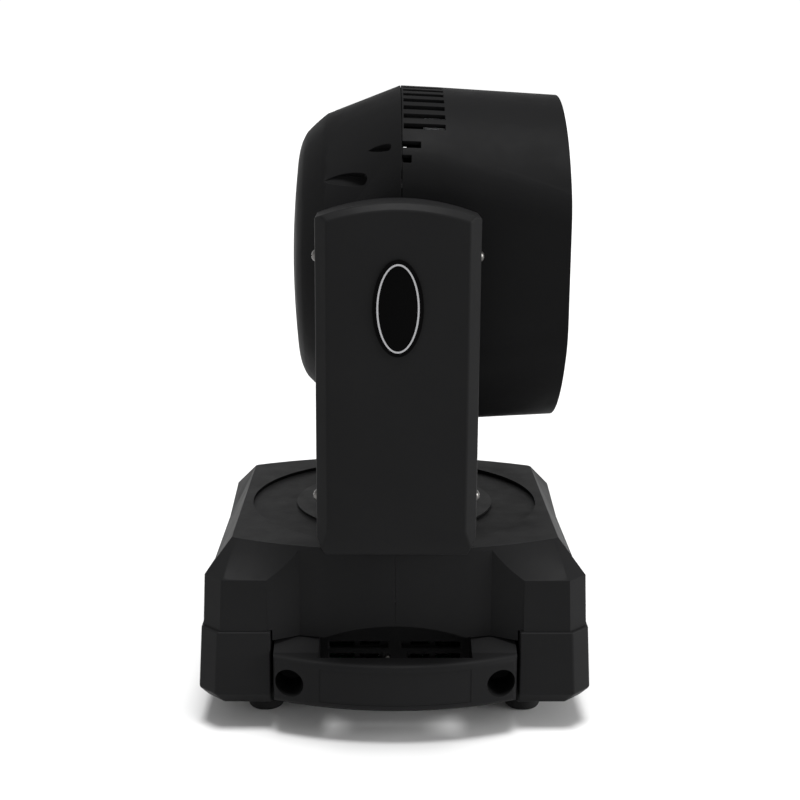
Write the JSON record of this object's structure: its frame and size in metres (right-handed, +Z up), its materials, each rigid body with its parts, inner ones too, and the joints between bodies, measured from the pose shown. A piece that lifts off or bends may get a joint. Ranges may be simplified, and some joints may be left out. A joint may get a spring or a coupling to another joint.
{
  "type": "moving head light",
  "caption": "LED wash moving head light on a four-footed base with side carry handles, panning two-arm yoke and tilting round head.",
  "frame": {"origin": "on the ground under the feet, on the pan axis", "axes": "+Z up along the pan axis, +X the way the beam leaves the head at rest, +Y towards the arm without the drive belt"},
  "size_m": [0.2388, 0.2912, 0.383],
  "materials": {
    "shell_plastic": "fine moulded grain",
    "handle_plastic": "fine moulded grain",
    "rubber": "matt",
    "screw_steel": "zinc plated",
    "black_steel": "powder coat",
    "zinc_steel": "zinc plated",
    "bearing_steel": "ground",
    "pulley_plastic": "moulded",
    "belt_rubber": "ribbed",
    "motor_steel": "satin",
    "fan_plastic": "moulded",
    "board": "solder mask",
    "aluminium": "extruded",
    "lens": "moulded acrylic",
    "mask_plastic": "satin",
    "window": "tinted acrylic",
    "button_plastic": "moulded",
    "panel_metal": "satin",
    "badge_ring": "bright",
    "badge_face": "domed resin",
    "socket_metal": "satin black"
  },
  "bodies": {
    "base": {"base_cover_front": "shell_plastic", "base_cover_rear": "shell_plastic", "base_case": "shell_plastic", "carry_handle_near": "handle_plastic", "carry_handle_far": "handle_plastic", "rubber_feet": "rubber", "base_screws": "screw_steel", "base_deck": "zinc_steel", "deck_pillars": "aluminium", "pan_bearing_outer": "bearing_steel", "pan_bearing_balls": "bearing_steel", "pan_motor": "motor_steel", "pan_belt": "belt_rubber", "front_panel": "panel_metal", "display_window": "window", "display_board": "board", "rear_panel": "panel_metal", "signal_input": "socket_metal", "signal_output": "socket_metal", "power_inlet": "socket_metal", "fuse_holder": "button_plastic", "power_supply": "aluminium", "control_board": "board", "base_fan_frame": "fan_plastic"},
    "yoke": {"turntable": "black_steel", "pan_bearing_inner": "bearing_steel", "pan_pulley": "pulley_plastic", "yoke_bridge": "black_steel", "bridge_cover": "shell_plastic", "arm_cover_near": "shell_plastic", "arm_cover_far": "shell_plastic", "arm_lid_near": "shell_plastic", "arm_lid_far": "shell_plastic", "arm_plates": "zinc_steel", "tilt_bearings": "bearing_steel", "arm_cover_screws": "screw_steel", "badge_rings": "badge_ring", "badge_domes": "badge_face", "tilt_motor": "motor_steel", "tilt_belt": "belt_rubber"},
    "head": {"head_front_shell": "shell_plastic", "head_rear_cover": "shell_plastic", "lens_mask": "mask_plastic", "lenses": "lens", "led_board": "board", "heat_sink": "aluminium", "head_brackets": "zinc_steel", "trunnion_near": "black_steel", "trunnion_far": "black_steel", "tilt_pulley": "pulley_plastic", "head_driver_board": "board", "head_fan_frame": "fan_plastic"},
    "pan_drive": {"pan_motor_pulley": "aluminium"},
    "tilt_drive": {"tilt_motor_pulley": "aluminium"},
    "base_fan": {"base_fan_rotor": "fan_plastic"},
    "head_fan": {"head_fan_rotor": "fan_plastic"},
    "button_1": {"menu_button_1": "button_plastic"},
    "button_2": {"menu_button_2": "button_plastic"},
    "button_3": {"menu_button_3": "button_plastic"},
    "button_4": {"menu_button_4": "button_plastic"}
  },
  "joints": [
    {"name": "pan", "type": "hinge", "parent": "base", "child": "yoke", "pos_m": [0, 0, 0.1], "axis": [0, 0, 1], "range_deg": [-270, 270]},
    {"name": "tilt", "type": "hinge", "parent": "yoke", "child": "head", "pos_m": [0, 0, 0.2762], "axis": [0, -1, 0], "range_deg": [-45, 225]},
    {"name": "pan_motor_turn", "type": "hinge", "parent": "base", "child": "pan_drive", "pos_m": [0.08, 0, 0.09], "axis": [0, 0, 1], "range_deg": [-1620, 1620]},
    {"name": "tilt_motor_turn", "type": "hinge", "parent": "yoke", "child": "tilt_drive", "pos_m": [0, -0.134, 0.1762], "axis": [0, -1, 0], "range_deg": [-225, 1125]},
    {"name": "base_fan_spin", "type": "hinge", "parent": "base", "child": "base_fan", "pos_m": [0, -0.077, 0.041], "axis": [0, 1, 0], "continuous": true},
    {"name": "head_fan_spin", "type": "hinge", "parent": "head", "child": "head_fan", "pos_m": [0, 0, 0.2762], "axis": [1, 0, 0], "continuous": true},
    {"name": "button_1_press", "type": "slide", "parent": "base", "child": "button_1", "axis": [-1, 0, 0], "range_m": [0, 0.001], "stiffness_N_per_m": 200, "springref_m": -0.003},
    {"name": "button_2_press", "type": "slide", "parent": "base", "child": "button_2", "axis": [-1, 0, 0], "range_m": [0, 0.001], "stiffness_N_per_m": 200, "springref_m": -0.003},
    {"name": "button_3_press", "type": "slide", "parent": "base", "child": "button_3", "axis": [-1, 0, 0], "range_m": [0, 0.001], "stiffness_N_per_m": 200, "springref_m": -0.003},
    {"name": "button_4_press", "type": "slide", "parent": "base", "child": "button_4", "axis": [-1, 0, 0], "range_m": [0, 0.001], "stiffness_N_per_m": 200, "springref_m": -0.003}
  ],
  "couplings": [
    {"joint": "pan_motor_turn", "follows": "pan", "ratio": 6},
    {"joint": "tilt_motor_turn", "follows": "tilt", "ratio": 5}
  ]
}
